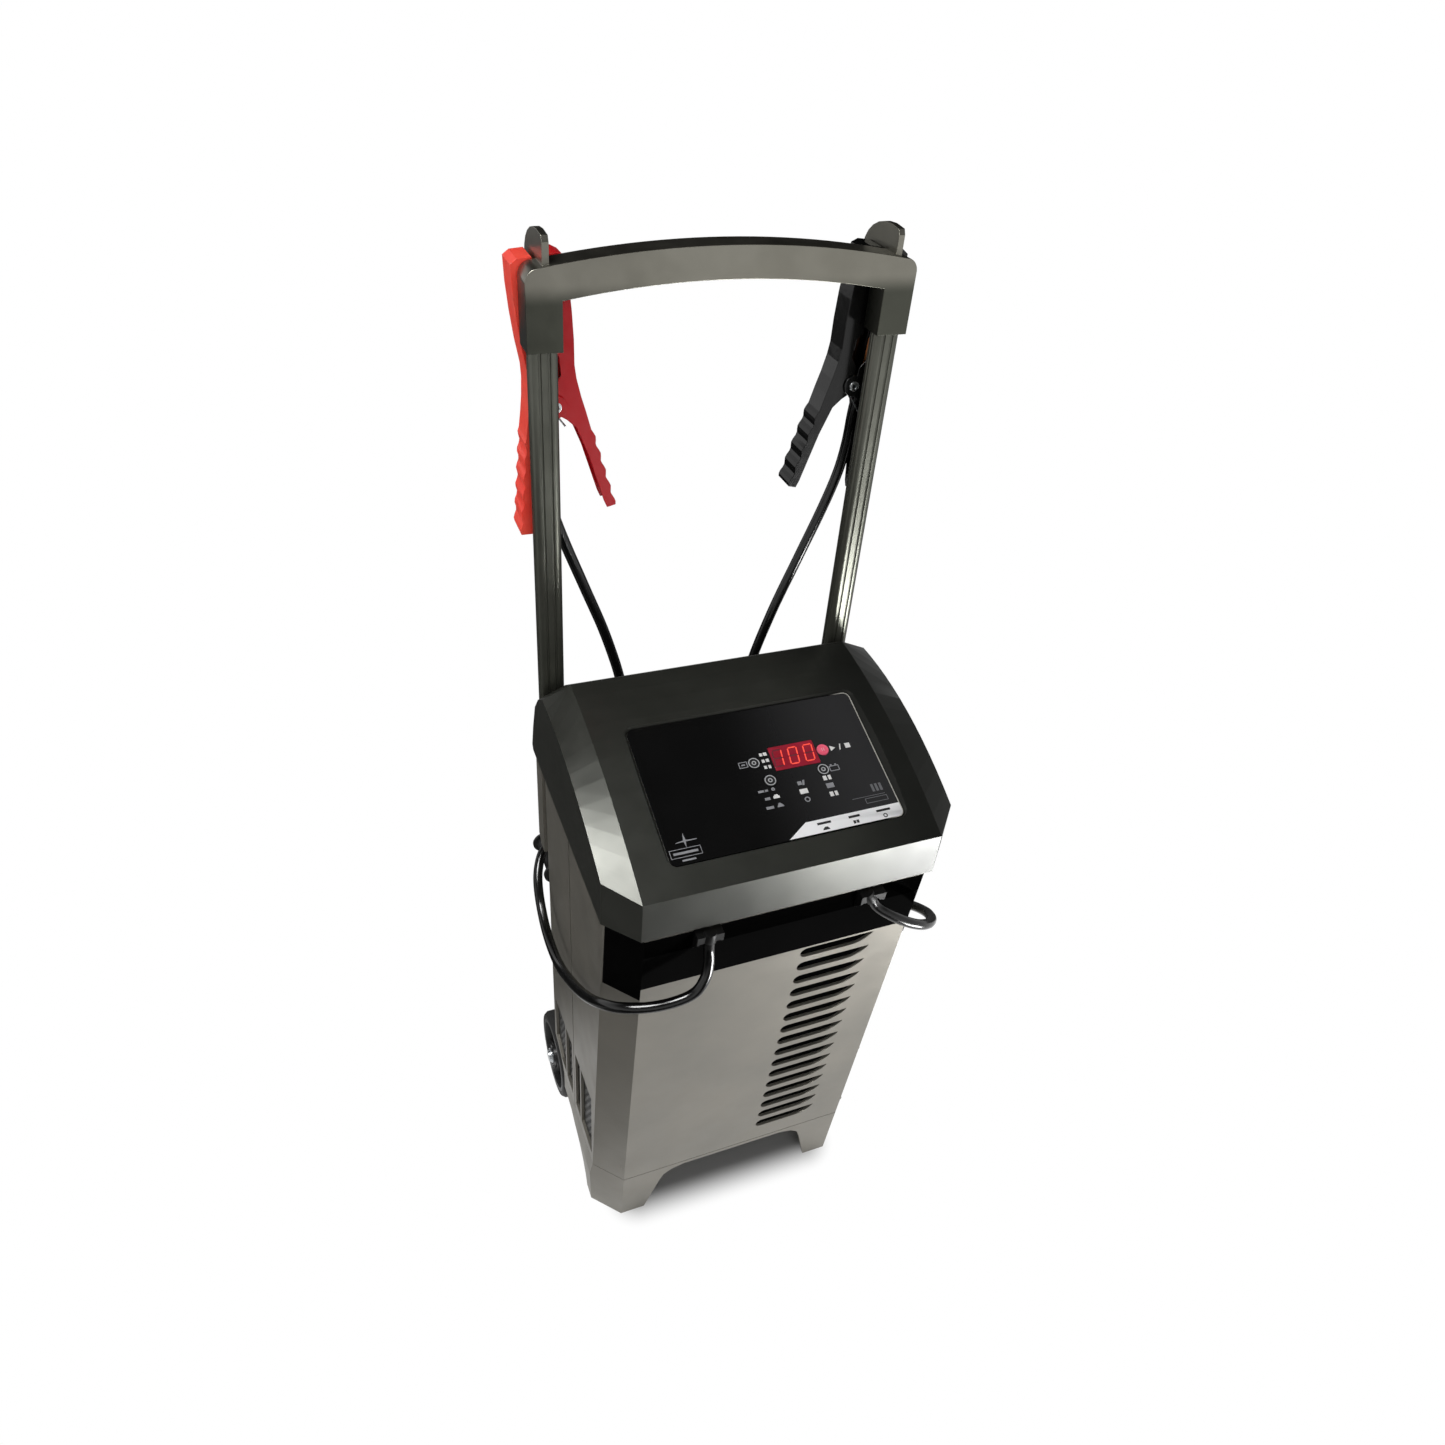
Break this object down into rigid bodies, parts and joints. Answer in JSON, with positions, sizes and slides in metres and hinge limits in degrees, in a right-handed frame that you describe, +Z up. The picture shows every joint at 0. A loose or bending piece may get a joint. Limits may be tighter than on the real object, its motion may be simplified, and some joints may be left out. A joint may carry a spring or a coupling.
{
  "type": "wheeled battery charger",
  "caption": "Upright workshop battery charger on two wheels, with a sloping control head, an arched handle and two clamps on leads.",
  "frame": {"origin": "on the floor, under the middle of the box that holds everything but the leads and their clamps", "axes": "+X to the right of someone facing the control panel, +Y towards the rear and the handle, +Z up"},
  "size_m": [0.3269, 0.294, 0.93],
  "materials": {
    "cabinet_plastic": "moulded, warm grey satin",
    "head_plastic": "moulded, charcoal satin",
    "gloss_black": "polished black",
    "screen_steel": "pierced sheet, dark paint",
    "silver_label": "brushed foil",
    "display_red": "clear red lens",
    "button_red": "satin",
    "button_grey": "satin ring on black",
    "dark_plastic": "moulded",
    "circuit_board": "green lacquer",
    "zinc_steel": "zinc plated",
    "grip_plastic": "moulded, satin",
    "tube_paint": "powder coat, satin",
    "black_rubber": "smooth",
    "clamp_red": "dipped coating on pressed steel, gloss",
    "clamp_black": "dipped coating on pressed steel, gloss",
    "copper_plate": "copper plated",
    "wheel_plastic": "moulded",
    "tyre_rubber": "moulded",
    "core_steel": "varnished laminations",
    "copper_wire": "enamelled copper wire",
    "aluminium_fins": "extruded",
    "diode_metal": "nickel plated"
  },
  "bodies": {
    "charger": {"base": "cabinet_plastic", "front_shell": "cabinet_plastic", "rear_shell": "cabinet_plastic", "handle_sockets": "cabinet_plastic", "head_cover": "head_plastic", "front_band": "gloss_black", "louvre_insert": "gloss_black", "vent_screens_front": "screen_steel", "vent_screens_rear": "screen_steel", "control_panel": "gloss_black", "info_strip": "silver_label", "display_window": "display_red", "display_module": "dark_plastic", "control_board": "circuit_board", "tact_switches": "dark_plastic", "head_screws": "zinc_steel", "housing_screws": "zinc_steel", "handle_grip": "grip_plastic", "handle_tube_left": "tube_paint", "handle_tube_right": "tube_paint", "handle_screws": "zinc_steel", "lead_gland_left": "black_rubber", "lead_gland_right": "black_rubber", "cord_pegs": "black_rubber", "lead_left": "black_rubber", "lead_right": "black_rubber", "red_clamp_lead_lever": "clamp_red", "red_clamp_lead_jaw": "copper_plate", "red_clamp_rivet": "zinc_steel", "red_clamp_spring": "zinc_steel", "black_clamp_lead_lever": "clamp_black", "black_clamp_lead_jaw": "copper_plate", "black_clamp_rivet": "zinc_steel", "black_clamp_spring": "zinc_steel", "axle": "zinc_steel", "axle_spacers": "zinc_steel", "axle_caps": "zinc_steel", "transformer_core": "core_steel", "transformer_windings": "copper_wire", "transformer_clamp": "zinc_steel", "rectifier_heatsink": "aluminium_fins", "rectifier_diodes": "diode_metal", "circuit_breaker": "dark_plastic", "fan_frame": "dark_plastic", "mains_inlet": "black_rubber"},
    "wheel_left": {"wheel_left": "wheel_plastic", "tyre_left": "tyre_rubber"},
    "wheel_right": {"wheel_right": "wheel_plastic", "tyre_right": "tyre_rubber"},
    "fan": {"fan_rotor": "dark_plastic"},
    "red_jaw": {"red_clamp_free_lever": "clamp_red", "red_clamp_free_jaw": "copper_plate"},
    "black_jaw": {"black_clamp_free_lever": "clamp_black", "black_clamp_free_jaw": "copper_plate"},
    "start_stop": {"start_stop_button": "button_red"},
    "mode": {"mode_button": "button_grey"},
    "rate": {"rate_button": "button_grey"},
    "type": {"type_button": "button_grey"}
  },
  "joints": [
    {"name": "wheel_left_spin", "type": "hinge", "parent": "charger", "child": "wheel_left", "pos_m": [-0.133, 0.092, 0.049], "axis": [1, 0, 0], "continuous": true},
    {"name": "wheel_right_spin", "type": "hinge", "parent": "charger", "child": "wheel_right", "pos_m": [0.133, 0.092, 0.049], "axis": [1, 0, 0], "continuous": true},
    {"name": "fan_spin", "type": "hinge", "parent": "charger", "child": "fan", "pos_m": [0, 0.071, 0.33], "axis": [0, 1, 0], "continuous": true},
    {"name": "red_clamp_open", "type": "hinge", "parent": "charger", "child": "red_jaw", "pos_m": [-0.1225, 0.121, 0.806], "axis": [0, 1, 0], "range_deg": [0, 18], "stiffness_Nm_per_rad": 3, "springref_deg": -20.05},
    {"name": "black_clamp_open", "type": "hinge", "parent": "charger", "child": "black_jaw", "pos_m": [0.1225, 0.121, 0.806], "axis": [0, -1, 0], "range_deg": [0, 18], "stiffness_Nm_per_rad": 3, "springref_deg": -20.05},
    {"name": "start_stop_press", "type": "slide", "parent": "charger", "child": "start_stop", "axis": [0, 0.3166, -0.9486], "range_m": [0, 0.0008], "stiffness_N_per_m": 400, "springref_m": -0.0006},
    {"name": "mode_press", "type": "slide", "parent": "charger", "child": "mode", "axis": [0, 0.3166, -0.9486], "range_m": [0, 0.0008], "stiffness_N_per_m": 400, "springref_m": -0.0006},
    {"name": "rate_press", "type": "slide", "parent": "charger", "child": "rate", "axis": [0, 0.3166, -0.9486], "range_m": [0, 0.0008], "stiffness_N_per_m": 400, "springref_m": -0.0006},
    {"name": "type_press", "type": "slide", "parent": "charger", "child": "type", "axis": [0, 0.3166, -0.9486], "range_m": [0, 0.0008], "stiffness_N_per_m": 400, "springref_m": -0.0006}
  ]
}
